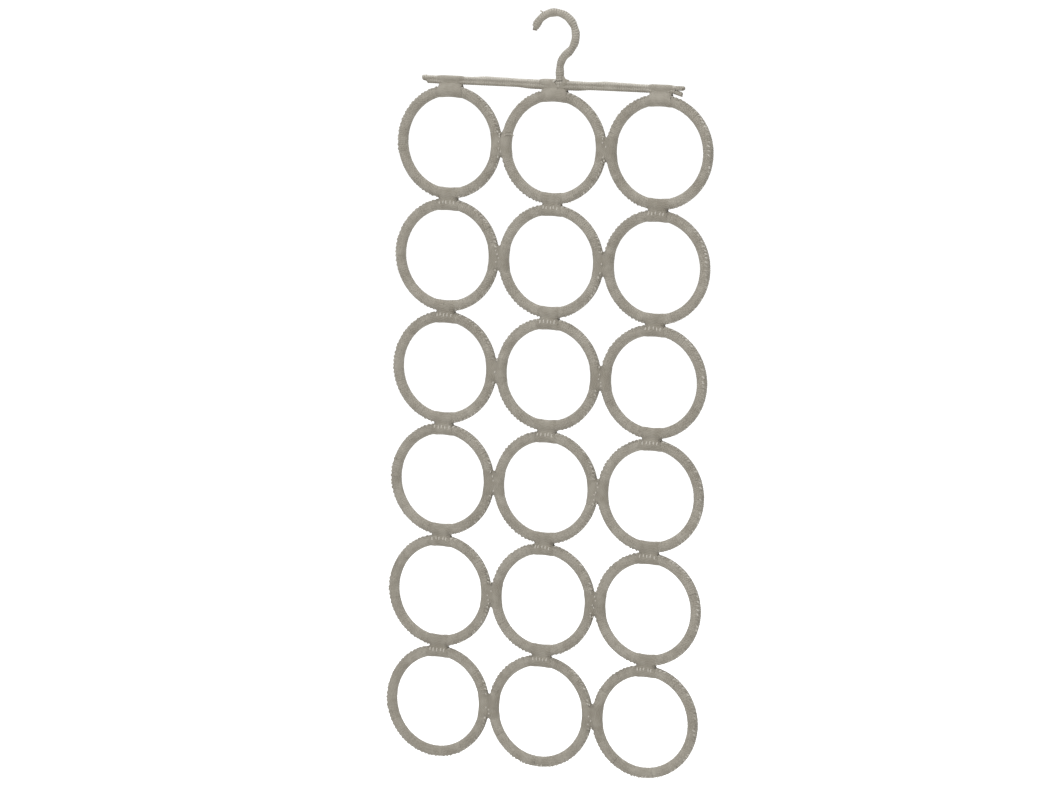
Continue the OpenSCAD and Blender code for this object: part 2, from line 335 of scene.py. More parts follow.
# Bumps per metre of the paint's wear, how much darker and lighter that makes it, its least
# roughness and what wear adds, and the depth of its bumps
WEAR_SCALE = 420
WEAR_SHADES = (0.7, 1.3)
WEAR_ROUGHNESS = (0.38, 0.25)
WEAR_RELIEF = 0.1 * MM


def wire_material(colours):
    """Satin paint over steel wire, a little uneven and worn."""
    material, build, shader = new_material("painted_wire")
    wear = noise(build, WEAR_SCALE, 4)
    worn, fresh = (opaque(colours.wire, share) for share in WEAR_SHADES)
    build.feed(shader, {
        "Base Color": mixed(build, wear, worn, fresh),
        "Roughness": wear * WEAR_ROUGHNESS[1] + WEAR_ROUGHNESS[0],
        "Metallic": 0.25,
        "Normal": build.add("ShaderNodeBump", values={
            "Strength": 0.3, "Distance": WEAR_RELIEF, "Height": wear}),
    })
    return material


# Bumps per metre of the hoops' grain, its share in their colour and its darker shade, and
# their least roughness and what the grain adds
GRAIN_SCALE = 900
GRAIN_SHARE = 0.4
GRAIN_SHADE = 0.85
GRAIN_ROUGHNESS = (0.42, 0.1)


def hoop_material(colours):
    """Plain moulded plastic with a faint grain."""
    material, build, shader = new_material("moulded_hoop")
    grain = noise(build, GRAIN_SCALE, 2)
    build.feed(shader, {
        "Base Color": mixed(build, grain * GRAIN_SHARE, opaque(colours.hoop),
                            opaque(colours.hoop, GRAIN_SHADE)),
        "Roughness": grain * GRAIN_ROUGHNESS[1] + GRAIN_ROUGHNESS[0],
    })
    return material


def material_of(name, maker):
    """The material of that name, made once."""
    return bpy.data.materials.get(name) or maker(bpy.context.scene.hanger_colours)


def yarn():
    return material_of("spun_yarn", yarn_material)


def new_tree(name, inputs):
    """A geometry node tree with named inputs, and its build and group input."""
    tree = bpy.data.node_groups.new(name, "GeometryNodeTree")
    tree.interface.new_socket("Geometry", in_out="INPUT", socket_type="NodeSocketGeometry")
    for title, kind in inputs:
        tree.interface.new_socket(title, in_out="INPUT", socket_type="NodeSocket" + kind)
    tree.interface.new_socket("Geometry", in_out="OUTPUT", socket_type="NodeSocketGeometry")
    build = Build(tree)
    return tree, build, build.add("NodeGroupInput")


def finish_tree(build, geometry, material):
    """Ends a tree in smooth shading, realised instances and the material."""
    real = build.add("GeometryNodeRealizeInstances", values={"Geometry": geometry})
    smooth = build.add("GeometryNodeSetShadeSmooth", values={"Geometry": real})
    made = build.add("GeometryNodeSetMaterial", values={"Geometry": smooth, "Material": material})
    build.add("NodeGroupOutput", values={0: made})


def named(build, geometry, name, value):
    """Stores a number on the geometry's points under that name."""
    return build.add("GeometryNodeStoreNamedAttribute", {"data_type": "FLOAT", "domain": "POINT"},
                     {"Geometry": geometry, "Name": name, "Value": value})


# How unevenly the turns of a ring lie: their shift as a share of the pitch, their lean and
# their roll, and the ranges of their swell and their width
TURN_SHIFT = 0.12
TURN_LEAN = 0.045
TURN_ROLL = 0.5
TURN_SWELLS = (0.985, 1.012)
TURN_SPREADS = (0.95, 1.1)
# The same for the knots of the ridge, with the exponent that keeps most of them dull: only a
# random few get a strong painted highlight
KNOT_SHIFT = 0.2
KNOT_SLANTS = (0.7, 1.25)
KNOT_SWELLS = (0.8, 1.1)
KNOT_DULLNESS = 1.5
# Angle by which the ridge lies in front of the outer edge: everywhere, at the contacts, more
# on the right half than on the left one, in a slow wave, and at random
RIDGE_ANGLE = 0.2
RIDGE_CONTACT = 0.55
RIDGE_RIGHT = 0.3
RIDGE_WAVE = 0.16
RIDGE_STRAY = 0.07
# Steps round a ring's plain core, its sides, and its radius as a share of the tube's
CORE_STEPS = 96
CORE_SIDES = 10
CORE_SHARE = 0.86


def wound_ring_tree():
    """Turns of yarn side by side round a ring, over a plain core, with a ridge of knots."""
    tree, build, given = new_tree("Wound ring", [
        ("Centre", "Vector"), ("Ring Radius", "Float"), ("Tube Radius", "Float"), ("Turns", "Int"),
        ("Turn", "Object"), ("Knot", "Object"), ("Knots", "Int"), ("Seed", "Int"),
        ("Right", "Float"), ("Top", "Float"), ("Left", "Float"), ("Bottom", "Float"),
        ("Free Angle", "Float"), ("Material", "Material")])
    seed = given.out("Seed")
    ring_r = given.out("Ring Radius")
    index = build.add("GeometryNodeInputIndex")

    def spot(angle, radius, depth):
        """The place at an angle round the ring, at a radius and a depth."""
        flat = build.vector(angle.cosine() * radius, depth, angle.sine() * radius)
        return build.add("ShaderNodeVectorMath", {"operation": "ADD"},
                         {0: flat, 1: given.out("Centre")})

    def shape(name):
        info = build.add("GeometryNodeObjectInfo", values={"Object": given.out(name)})
        return info.out("Geometry")

    def rows_of(count, place, selection, instance, rotation, scale, marks):
        points = build.add("GeometryNodePoints", values={"Count": count, "Position": place})
        for name, value in marks.items():
            points = named(build, points, name, value)
        values = {"Points": points, "Instance": instance, "Rotation": rotation, "Scale": scale}
        if selection is not None:
            values["Selection"] = selection
        return build.add("GeometryNodeInstanceOnPoints", values=values)

    angle = (index + build.random(-TURN_SHIFT, TURN_SHIFT, seed)) * FULL / given.out("Turns")
    lean = build.turned(None, (1, 0, 0), build.random(-TURN_LEAN, TURN_LEAN, seed + 1))
    roll = build.turned(lean, (0, 0, 1), build.random(-TURN_ROLL, TURN_ROLL, seed + 7))
    swell = build.random(*TURN_SWELLS, seed + 2)
    width = build.random(*TURN_SPREADS, seed + 3)
    turns = rows_of(given.out("Turns"), spot(angle, ring_r, 0.0), None, shape("Turn"),
                    build.turned(roll, (0, 1, 0), -angle), build.vector(swell, swell, width),
                    {"shade": build.random(0.0, 1.0, seed + 9)})

    # The ridge runs along the outer edge, but comes round to the front at each contact
    knots = given.out("Knots")
    mark = (index + build.random(-KNOT_SHIFT, KNOT_SHIFT, seed + 4)) * FULL / knots
    stray = build.random(-RIDGE_STRAY, RIDGE_STRAY, seed + 5)
    wander = (mark * 3 + seed).sine() * RIDGE_WAVE + stray
    contact = (mark * 4).cosine().greater_of(0).power(2) * RIDGE_CONTACT
    front = contact + mark.cosine() * RIDGE_RIGHT + RIDGE_ANGLE + wander
    knot_r = given.out("Tube Radius")
    place = spot(mark, ring_r + front.cosine() * knot_r, -(front.sine() * knot_r))
    slant = build.turned(None, (1, 0, 0), build.random(*KNOT_SLANTS, seed + 6))
    knot = build.turned(build.turned(slant, (0, 0, 1), -front), (0, 1, 0), -mark)
    towards = (mark.cosine() * given.out("Right")).greater_of(mark.sine() * given.out("Top"))
    towards = towards.greater_of(-(mark.cosine() * given.out("Left")))
    towards = towards.greater_of(-(mark.sine() * given.out("Bottom")))
    away = build.add("FunctionNodeCompare", {"data_type": "FLOAT", "operation": "LESS_THAN"},
                     {0: towards, 1: given.out("Free Angle").cosine()})
    size = build.random(*KNOT_SWELLS, seed + 8)
    # Painted highlight: a random brightness for each knot, stored as its lift
    bright = build.random(0.0, 1.0, seed + 10).power(KNOT_DULLNESS)
    ridge = rows_of(knots, place, away, shape("Knot"), knot, build.vector(size, size, 1.0),
                    {"lift": bright})

    circle = build.add("GeometryNodeCurvePrimitiveCircle", {"mode": "RADIUS"},
                       {"Resolution": CORE_STEPS, "Radius": ring_r})
    stood = build.add("GeometryNodeTransform", values={
        "Geometry": circle, "Translation": given.out("Centre"), "Rotation": (math.pi / 2, 0, 0)})
    section = build.add("GeometryNodeCurvePrimitiveCircle", {"mode": "RADIUS"},
                        {"Resolution": CORE_SIDES, "Radius": given.out("Tube Radius") * CORE_SHARE})
    core = build.add("GeometryNodeCurveToMesh", values={"Curve": stood, "Profile Curve": section})
    joined = build.add("GeometryNodeJoinGeometry", values={0: turns})
    for more in (ridge, core):
        build.tree.links.new(more.link, joined.link.node.inputs[0])
    finish_tree(build, joined, given.out("Material"))
    return tree


# Sides of the yarn along a route, lumps per metre in it, and how far below level a face may
# look and still be painted lighter as a top, as painted light from above
ROUTE_SIDES = 8
LUMP_SCALE = 300
TOP_REACH = 0.3


def route_yarn_tree():
    """Flat yarn drawn along a route, its flat side square to the normals the route gives."""
    tree, build, given = new_tree("Yarn along a route", [
        ("Width", "Float"), ("Thickness", "Float"), ("Uneven", "Float"), ("Lift", "Float"),
        ("Top Lift", "Float"), ("Material", "Material")])
    outward = build.add("GeometryNodeInputNamedAttribute", {"data_type": "FLOAT_VECTOR"},
                        {"Name": "outward"})
    curve = build.add("GeometryNodeMeshToCurve", values={"Mesh": given})
    curve = build.add("GeometryNodeSetCurveNormal", {"mode": "FREE"},
                      {"Curve": curve, "Normal": outward})
    spline = build.add("GeometryNodeSplineParameter")
    curve = named(build, curve, "along", spline.out("Length"))
    lumps = noise(build, LUMP_SCALE, 2, build.add("GeometryNodeInputPosition")) - 0.5
    section = build.add("GeometryNodeCurvePrimitiveCircle", {"mode": "RADIUS"},
                        {"Resolution": ROUTE_SIDES, "Radius": 1.0})
    section = build.add("GeometryNodeTransform", values={
        "Geometry": section,
        "Scale": build.vector(given.out("Thickness") / 2, given.out("Width") / 2, 1.0)})
    around = build.add("GeometryNodeSplineParameter").out("Factor")
    section = named(build, section, "around", around)
    mesh = build.add("GeometryNodeCurveToMesh", values={
        "Curve": curve, "Profile Curve": section, "Scale": lumps * given.out("Uneven") + 1,
        "Fill Caps": True})
    # Painted light: faces that look upwards get the top lift added to their lift, as if lit from
    # above
    facing = build.add("GeometryNodeInputNormal")
    height = build.add("ShaderNodeSeparateXYZ", values={0: facing}, output=2)
    top_lift = (height + TOP_REACH).greater_of(0) * given.out("Top Lift")
    mesh = named(build, mesh, "lift", top_lift + given.out("Lift"))
    finish_tree(build, mesh, given.out("Material"))
    return tree


def tree_of(name, maker):
    return bpy.data.node_groups.get(name) or maker()


def new_object(name, mesh):
    piece = bpy.data.objects.new(name, mesh)
    bpy.context.scene.collection.objects.link(piece)
    return piece


def grow(name, mesh, tree, values):
    """The plain mesh that a geometry node tree makes of a mesh, as a new piece."""
    seedling = new_object(name + "_seedling", mesh)
    modifier = seedling.modifiers.new("Grow", "NODES")
    modifier.node_group = tree
    sockets = {item.name: item.identifier for item in tree.interface.items_tree
               if item.in_out == "INPUT"}
    for title, value in values.items():
        modifier[sockets[title]] = value
    bpy.context.view_layer.update()
    depsgraph = bpy.context.evaluated_depsgraph_get()
    made = bpy.data.meshes.new_from_object(seedling.evaluated_get(depsgraph))
    made.name = name
    bpy.data.objects.remove(seedling)
    return new_object(name, made)


def ride_as(piece, body, nodes):
    """Puts a piece on its body in place of its CAD nodes."""
    if nodes:
        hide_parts(*nodes)
    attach(piece, body)


def swept_loop(name, points, normals, binormals, half_thick, half_wide, sides, closed):
    """A mesh of an oval section carried along points, with the attributes of its plies."""
    count = len(points)
    corners, faces, along, around = [], [], [], []
    length = 0.0
    for i, (point, normal, side) in enumerate(zip(points, normals, binormals)):
        length += (point - points[i - 1]).length if i else 0.0
        for k in range(sides):
            a = FULL * k / sides
            corners.append(point + normal * (math.cos(a) * half_thick)
                           + side * (math.sin(a) * half_wide))
            along.append(length)
            around.append(k / sides)
    for i in range(count if closed else count - 1):
        for k in range(sides):
            j, m = (i + 1) % count, (k + 1) % sides
            faces.append((i * sides + k, i * sides + m, j * sides + m, j * sides + k))
    if not closed:
        faces.append(tuple(range(sides)))
        faces.append(tuple((count - 1) * sides + k for k in reversed(range(sides))))
    mesh = bpy.data.meshes.new(name)
    mesh.from_pydata(corners, [], faces)
    for title, numbers in (("along", along), ("around", around)):
        mesh.attributes.new(title, "FLOAT", "POINT").data.foreach_set("value", numbers)
    mesh.validate()
    return mesh


# Steps and sides of one turn of yarn round a ring's tube
TURN_SEGMENTS = 20
TURN_SIDES = 6


def turn_shape(sizes):
    """One turn of yarn round a ring's tube, about Z, with the ring's centre towards -X."""
    radius = TUBE_R + sizes.proud - sizes.turn_thickness / 2
    angles = [FULL * i / TURN_SEGMENTS for i in range(TURN_SEGMENTS)]
    normals = [Vector((math.cos(a), math.sin(a), 0)) for a in angles]
    return swept_loop("turn", [radius * n for n in normals], normals, [UP] * TURN_SEGMENTS,
                      sizes.turn_thickness / 2, sizes.turn_width / 2, TURN_SIDES, True)


# Knots round a ring, and the steps and sides of one
KNOTS = 84
KNOT_SEGMENTS = 6
KNOT_SIDES = 8
# Its thickness, the radius of its arch, half the angle of that, how deep its root lies as a
# share of the radius, its sideways wave, and the share of its section that its ends lose
KNOT_THICKNESS = 1.5 * MM
KNOT_HEIGHT = 0.9 * MM
KNOT_BEND = math.pi / 2.6
KNOT_ROOT = 0.75
KNOT_WAVE = 0.25 * MM
KNOT_TAPER = 0.85
# Half angle round a contact in which a ring has no knots, because its lashing lies there
LASHED_ANGLE = math.radians(12)


def knot_shape(sizes):
    """One half hitch of the ridge, a short arched piece of yarn along Z, standing out to +X."""
    points, normals, sides = [], [], []
    for i in range(KNOT_SEGMENTS + 1):
        t = 2 * i / KNOT_SEGMENTS - 1
        bend = KNOT_BEND * t
        points.append(Vector((KNOT_HEIGHT * (math.cos(bend) - KNOT_ROOT),
                              KNOT_WAVE * math.sin(math.pi * t), sizes.knot_length / 2 * t)))
        slender = math.sqrt(1 - KNOT_TAPER * t * t)
        normals.append(Vector((math.cos(bend), 0, math.sin(bend))) * slender)
        sides.append(DEPTH * slender)
    return swept_loop("knot", points, normals, sides, KNOT_THICKNESS / 2, KNOT_THICKNESS / 2,
                      KNOT_SIDES, False)


def contacts_of(row, column):
    """Whether a ring has a neighbour to the right, above, to the left and below."""
    return {"Right": float(column < 1), "Top": 1.0, "Left": float(column > -1),
            "Bottom": float(row < ROWS)}


class HANGER_OT_ring_covers(bpy.types.Operator):
    """Make the wound yarn cover of each ring"""

    bl_idname = "hanger.ring_covers"
    bl_label = "Ring covers"

    def execute(self, context):
        sizes = context.scene.hanger_yarn
        tree = tree_of("Wound ring", wound_ring_tree)
        turn = new_object("turn_pattern", turn_shape(sizes))
        knot = new_object("knot_pattern", knot_shape(sizes))
        for row in range(1, ROWS + 1):
            for column, side in enumerate(SIDES, -1):
                node = f"row_{row}_{side}_cover"
                piece = grow(f"row_{row}_{side}_yarn", bpy.data.meshes.new("seed"), tree, {
                    "Centre": middle_and_half(node)[0], "Ring Radius": RING_R,
                    "Tube Radius": TUBE_R, "Turns": sizes.turns, "Turn": turn, "Knot": knot,
                    "Knots": KNOTS, "Seed": 100 * row + 10 * (column + 1),
                    "Free Angle": LASHED_ANGLE, "Material": yarn(), **contacts_of(row, column)})
                ride_as(piece, f"row_{row}", [node])
        for pattern in (turn, knot):
            bpy.data.objects.remove(pattern)
        return {"FINISHED"}


def route_mesh(name, routes):
    """A mesh of open chains of edges, each point with the outward normal of its route."""
    corners, edges, normals = [], [], []
    for route in routes:
        first = len(corners)
        for point, normal in route:
            corners.append(point)
            normals.append(normal)
        edges += [(i, i + 1) for i in range(first, len(corners) - 1)]
    mesh = bpy.data.meshes.new(name)
    mesh.from_pydata(corners, edges, [])
    flat = [c for normal in normals for c in normal]
    mesh.attributes.new("outward", "FLOAT_VECTOR", "POINT").data.foreach_set("vector", flat)
    return mesh


# How much yarn swells and shrinks along its length, unless it has a measure of its own
UNEVEN = 0.25


def yarn_along(name, routes, width, thickness, body, nodes, uneven=UNEVEN, lift=0.0,
               top_lift=0.0):
    """Yarn drawn along routes, as one piece that rides on a body."""
    piece = grow(name, route_mesh(name, routes), tree_of("Yarn along a route", route_yarn_tree), {
        "Width": width, "Thickness": thickness, "Uneven": uneven, "Lift": lift,
        "Top Lift": top_lift, "Material": yarn()})
    ride_as(piece, body, nodes)


# Thickness of a round thread, as a share of its width
ROUNDNESS = 0.8


def threads_along(name, routes, width, body, lift, uneven=UNEVEN):
    """Round threads drawn along routes, as one piece of looks alone."""
    yarn_along(name, routes, width, ROUNDNESS * width, body, [], uneven, lift)


def waist_tangent(radius, centre, waist_y, waist_z):
    """Angle on a tube, from its front towards the waist, at which a line to the pulled-in
    waist leaves it."""
    away = abs(waist_z - centre)
    reach = math.hypot(waist_y, away)
    return math.atan2(away, waist_y) - math.acos(min(1.0, radius / reach))


def belt_point(share, low_z, high_z, low_r, high_r, waist):
    """Depth, height and outward normal at a share of a belt round two tubes, one above
    the other, that is pulled in between them. It starts in the middle of the lower tube's
    underside and goes up the front; waist is its half depth there."""
    waist_z = low_z + (high_z - low_z) * low_r / (low_r + high_r)
    low_end = waist_tangent(low_r, low_z, waist, waist_z)
    high_end = -waist_tangent(high_r, high_z, waist, waist_z)
    leave = Vector((low_r * math.cos(low_end), low_z + low_r * math.sin(low_end)))
    pulled = Vector((waist, waist_z))
    reach = Vector((high_r * math.cos(high_end), high_z + high_r * math.sin(high_end)))
    lengths = (low_r * (math.pi / 2 + low_end), (pulled - leave).length, (reach - pulled).length,
               high_r * (math.pi / 2 - high_end))
    whole = 2 * sum(lengths)
    s = share % 1.0 * whole
    behind = s > whole / 2
    s = min(s, whole - s)
    if s < lengths[0]:
        a = s / low_r - math.pi / 2
        y, z = low_r * math.cos(a), low_z + low_r * math.sin(a)
    elif s < lengths[0] + lengths[1]:
        t = (s - lengths[0]) / lengths[1]
        y, z = leave.lerp(pulled, t)
        a = low_end * (1 - t)
    elif s < sum(lengths[:3]):
        t = (s - lengths[0] - lengths[1]) / lengths[2]
        y, z = pulled.lerp(reach, t)
        a = high_end * t
    else:
        a = high_end + (s - sum(lengths[:3])) / high_r
        y, z = high_r * math.cos(a), high_z + high_r * math.sin(a)
    flip = 1 if behind else -1
    return Vector((0, flip * y, z)), Vector((0, flip * math.cos(a), math.sin(a)))


def bow(x):
    """How far a ring has bent away from its extreme point at x along the contact."""
    return RING_R - math.sqrt(RING_R ** 2 - x ** 2)


# Half width and turns of the lashings: side by side, between the rows, and on the bar
SIDE_REACH = 12.4 * MM
SIDE_TURNS = 28
HANG_REACH = 10.0 * MM
HANG_TURNS = 23
BAR_REACH = (12.6 * MM, 13.4 * MM, 11.6 * MM)
BAR_TURNS = (29, 31, 27)
# Points of a turn's route, and how far a turn strays at the top, as a share of the pitch
BELT_STEPS = 32
TIE_STRAY = 0.4
# How far a side lashing presses into the rings' yarn
SIDE_SINK = 0.3 * MM
# Half depth of a lashing where it is pulled in, as a share of its half depth on a tube, at
# the middle and at the ends
WAIST_SHARE = 0.74
END_WAIST_SHARE = 0.15
# How far the outermost turns are drawn together at the waist and at the lower tube
TIE_DRAWS = (0.2, 0.0)
BAR_DRAWS = (0.16, 0.06)
# Room that a swinging ring keeps inside its lashing, and how far the lashing bends with
# the ring at rest
SWING_ROOM = 0.22 * MM
BEND_SHARE = 0.75
# How much closer the outermost turns lie, over the last share of the reach
END_SINK = 0.55 * MM
END_SHARE = 0.35


def lashing_route(reach, turns, low_of, high_of, low_r, high_r, rng, draws=TIE_DRAWS, top_x=None):
    """A winding of turns side by side along X, its tubes' heights given for each x. The
    outermost turns lie closer. draws tells how far they are drawn together at the waist and
    how much closer together they lie at the lower tube, and top_x may shift a turn to one
    side at the top."""
    route = []
    step = 2 * reach / turns
    for i in range(turns * BELT_STEPS + 1):
        turn = i / BELT_STEPS
        x = -reach + step * turn
        if i % BELT_STEPS == 0:
            jitter = rng.uniform(-TIE_STRAY, TIE_STRAY) * step
        out = abs(x) / reach
        low_x = x * (1 - draws[1] * out ** 2)
        close = END_SINK * max(0.0, out - 1 + END_SHARE) / END_SHARE
        low, high = low_of(low_x), high_of(x)
        waist = WAIST_SHARE + (END_WAIST_SHARE - WAIST_SHARE) * out ** 3
        point, normal = belt_point(turn, low, high, low_r - close, high_r - close,
                                   waist * min(low_r, high_r))
        share = max(0.0, min(1.0, (point.z - low) / (high - low)))
        drawn = x * draws[0] * out ** 2 * (1 - (2 * share - 1) ** 2)
        point.x = low_x + (x - low_x) * share - drawn
        if top_x:
            point.x += (top_x(x, turn) - x) * share ** 4
        else:
            point.x += jitter * math.sin(math.pi * (turn % 1.0)) ** 2
        route.append((point, normal))
    return route


# How far the packing reaches, as a share of the lashing's reach, where its route has points,
# and its size across
PACKING_SHARE = 0.8
PACKING_SPOTS = (-1, -0.75, 0, 0.75, 1)
PACKING_WIDTH = 3.6 * MM
PACKING_THICKNESS = 2.6 * MM


def packing(reach, height):
    """Yarn that fills the space between the two tubes inside a lashing, along X."""
    half = PACKING_SHARE * reach
    return [(Vector((x * half, 0, height)), UP) for x in PACKING_SPOTS]


def placed(route, origin, sideways=False):
    """A route moved to its origin, and first laid on its side if it ties two columns."""
    if sideways:
        route = [(Vector((p.z, p.y, -p.x)), Vector((n.z, n.y, -n.x))) for p, n in route]
    return [(p + origin, n) for p, n in route]


def lashed_tube_r(x, sizes):
    """Radius of a yarn turn's middle line, close on a ring's wound tube at x."""
    return (TUBE_R + sizes.proud) / math.cos(math.asin(x / RING_R)) + sizes.lash_thickness / 2


# Pitch, width and brightness of the stitches, and how many cross a lashing. Their brightness is a
# painted highlight
STITCH_PITCH = 3.3 * MM
STITCH_WIDTH = 1.25 * MM
STITCH_BRIGHT = 0.8
STITCHES = 5
# Angle of a stitch above the front of the tube, and half the angle that it spans
STITCH_ANGLE = 0.42
STITCH_HALF = 0.34
# How much these and the place vary, as a share of the pitch, an angle and a factor, and how
# far a stitch leans, in millimetres
STITCH_STRAYS = (0.15, 0.1)
STITCH_SPANS = (0.8, 1.1)
STITCH_LEANS = (-0.35, 0.2)
# How far its middle stands out and its ends sink in, and where its route has points
STITCH_LIFT = 0.35 * MM
STITCH_SINK = 0.7 * MM
STITCH_SPOTS = (-1, -0.8, -0.4, 0, 0.4, 0.8, 1)
# Small knots on a side lashing: brightness, which is a painted highlight, spread sideways and
# along it, the share that is kept, depth of the surface, rise over it, half length, and how many
# lie each way
DOT_BRIGHT = 0.75
DOT_SPREAD = 2.2 * MM
DOT_STRAY = 1.0 * MM
DOT_SHARE = 0.7
DOT_DEPTH = 3.7 * MM
DOT_LIFT = 0.45 * MM
DOT_HALF = 0.9 * MM
DOTS_EACH_WAY = 3


def arched(t, rise):
    """Height of a stitch over the surface, from one sunken end over its middle to the other."""
    return (rise + STITCH_SINK) * (1 - t ** 4) - STITCH_SINK


def stitches_of(surface_r, rng):
    """Short upright stitches over a lashing, in a row across the front of the ring below. The
    origin is on that ring's middle line below the contact."""
    stitches = []
    for i in range(STITCHES):
        beside, above = STITCH_STRAYS
        x = (i - (STITCHES - 1) / 2 + rng.uniform(-beside, beside)) * STITCH_PITCH
        middle = STITCH_ANGLE + rng.uniform(-above, above)
        half = STITCH_HALF * rng.uniform(*STITCH_SPANS)
        lean = rng.uniform(*STITCH_LEANS)
        stitch = []
        for t in STITCH_SPOTS:
            a = middle + half * t
            normal = Vector((0, -math.cos(a), math.sin(a)))
            out = normal * (surface_r + arched(t, STITCH_LIFT))
            stitch.append((Vector((x + lean * t * MM, 0, -bow(x))) + out, normal))
        stitches.append(stitch)
    return stitches


def dots_of(contact, rng):
    """Small knots scattered down the front of a side lashing."""
    dots = []
    for i in range(-DOTS_EACH_WAY, DOTS_EACH_WAY + 1):
        x = rng.uniform(-DOT_SPREAD, DOT_SPREAD)
        z = i * STITCH_PITCH + rng.uniform(-DOT_STRAY, DOT_STRAY)
        if rng.random() < DOT_SHARE:
            dots.append([(contact + Vector((x, -DOT_DEPTH - arched(t, DOT_LIFT), z + DOT_HALF * t)),
                          -DEPTH) for t in STITCH_SPOTS])
    return dots


# Seed of the lashings' random draws
TIE_SEED = 41
# How much the lashings' yarn swells and shrinks, and how much darker it is than the rings'
TIE_UNEVEN = 0.9
TIE_LIFT = -0.28
# How much lighter they are painted on their upward faces on top of the bar, as painted light from
# above, and how much lighter the packing inside them is painted against the shade in its hollows
TIE_TOP_LIFT = 0.4
PACKING_LIFT = 0.3
# Turns of the middle lashing that pass left of the stem, and how closely the others lie
LEFT_OF_STEM = 20
PAST_STEM = 0.3
# How far the crests of the wraps on the bar and the hook stand above the smooth sleeve
WRAP_PROUD = 0.3 * MM


class HANGER_OT_lashings(bpy.types.Operator):
    """Make the yarn that ties the rings to each other and to the bar"""

    bl_idname = "hanger.lashings"
    bl_label = "Lashings"

    def execute(self, context):
        sizes = context.scene.hanger_yarn
        rng = random.Random(TIE_SEED)
        half_gap = (RING_PITCH - 2 * RING_R) / 2
        drop = RING_MIDDLE.z + RING_R - HINGES["row_1"].z
        close_r = lashed_tube_r(HANG_REACH / 2, sizes)
        swing_r = close_r + SWING_ROOM

        def bent(x):
            return BEND_SHARE * (drop - bow(x))

        for row in range(1, ROWS + 1):
            body, name = f"row_{row}", f"row_{row}_side"
            routes, packings, dots = [], [], []
            for half in (-0.5, 0.5):
                contact = RING_MIDDLE + Vector((half * RING_PITCH, 0, (1 - row) * RING_PITCH))
                r = lashed_tube_r(SIDE_REACH / 2, sizes) - SIDE_SINK
                route = lashing_route(SIDE_REACH, SIDE_TURNS, lambda x: -half_gap - bow(x),
                                      lambda x: half_gap + bow(x), r, r, rng)
                routes.append(placed(route, contact, True))
                packings.append(placed(packing(SIDE_REACH, 0), contact, True))
                dots += dots_of(contact, rng)
            self.tie(name, body, routes, sizes)
            self.fill(name, body, packings)
            threads_along(f"{name}_knots", dots, STITCH_WIDTH, body, DOT_BRIGHT)
        for row in range(1, ROWS):
            body, name = f"row_{row}", f"row_{row}_hang"
            routes, stitches, packings = [], [], []
            upper = 2 * half_gap + drop
            for column in (-1, 0, 1):
                foot = HINGES[f"row_{row + 1}"] + Vector((column * RING_PITCH, 0, 0))
                tube = foot + Vector((0, 0, drop))
                route = lashing_route(HANG_REACH, HANG_TURNS, bent, lambda x: upper + bow(x),
                                      swing_r, close_r, rng)
                routes.append(placed(route, foot))
                packings.append(placed(packing(HANG_REACH, half_gap), tube))
                stitches += [placed(stitch, tube) for stitch in stitches_of(swing_r, rng)]
            self.tie(name, body, routes, sizes)
            threads_along(f"{name}_stitches", stitches, STITCH_WIDTH, body, STITCH_BRIGHT)
            self.fill(name, body, packings)
        self.bar_ties(sizes, rng, swing_r, bent)
        return {"FINISHED"}

    def tie(self, name, body, routes, sizes, top_lift=0.0):
        """The lashings of one node."""
        yarn_along(f"{name}_ties", routes, sizes.lash_width, sizes.lash_thickness, body,
                   [f"{name}_lashings"], TIE_UNEVEN, TIE_LIFT, top_lift)

    def fill(self, name, body, routes):
        """The packing inside the lashings of one node."""
        yarn_along(f"{name}_packing", routes, PACKING_WIDTH, PACKING_THICKNESS, body, [],
                   lift=PACKING_LIFT)

    def bar_ties(self, sizes, rng, swing_r, bent):
        """The lashings of the first row, over the bar and its binding."""
        hinge = HINGES["row_1"]
        top = BAR_MIDDLE.z + BAR_HALF.z - BAR_HALF.y - hinge.z
        between = (RING_MIDDLE.z + RING_R + TUBE_R + BAR_MIDDLE.z - BAR_HALF.z) / 2 - hinge.z
        stem = HOOK_STEM_X - RING_MIDDLE.x
        room = COVER_HALF_DEPTH + sizes.lash_width / 2
        routes, packings = [], []
        for column, reach, turns in zip((-1, 0, 1), BAR_REACH, BAR_TURNS):
            side = BINDING_HALF.y if column == 0 else BAR_HALF.y
            high_r = side + WRAP_PROUD + sizes.lash_thickness / 2
            parting = LEFT_OF_STEM * 2 * reach / turns - reach

            def beside_stem(x, turn):
                """Where a turn passes over the bar, left or right of the hook's stem."""
                if turn < LEFT_OF_STEM:
                    return -reach + (x + reach) * (stem - room + reach) / (parting + reach)
                return stem + room + (x - parting) * PAST_STEM

            route = lashing_route(reach, turns, bent, lambda x: top, swing_r, high_r, rng,
                                  BAR_DRAWS, None if column else beside_stem)
            foot = hinge + Vector((column * RING_PITCH, 0, 0))
            routes.append(placed(route, foot))
            packings.append(placed(packing(reach, between), foot))
        self.fill("bar", "bar", packings)
        self.tie("bar", "bar", routes, sizes, TIE_TOP_LIFT)


# Points of a turn of the wraps on the bar and the hook, and their pitch as a share of the width
WRAP_STEPS = 18
WRAP_PITCH = 0.9
# How far the wraps of the bar sink in between its two wires
BAR_WAIST = 0.45 * MM


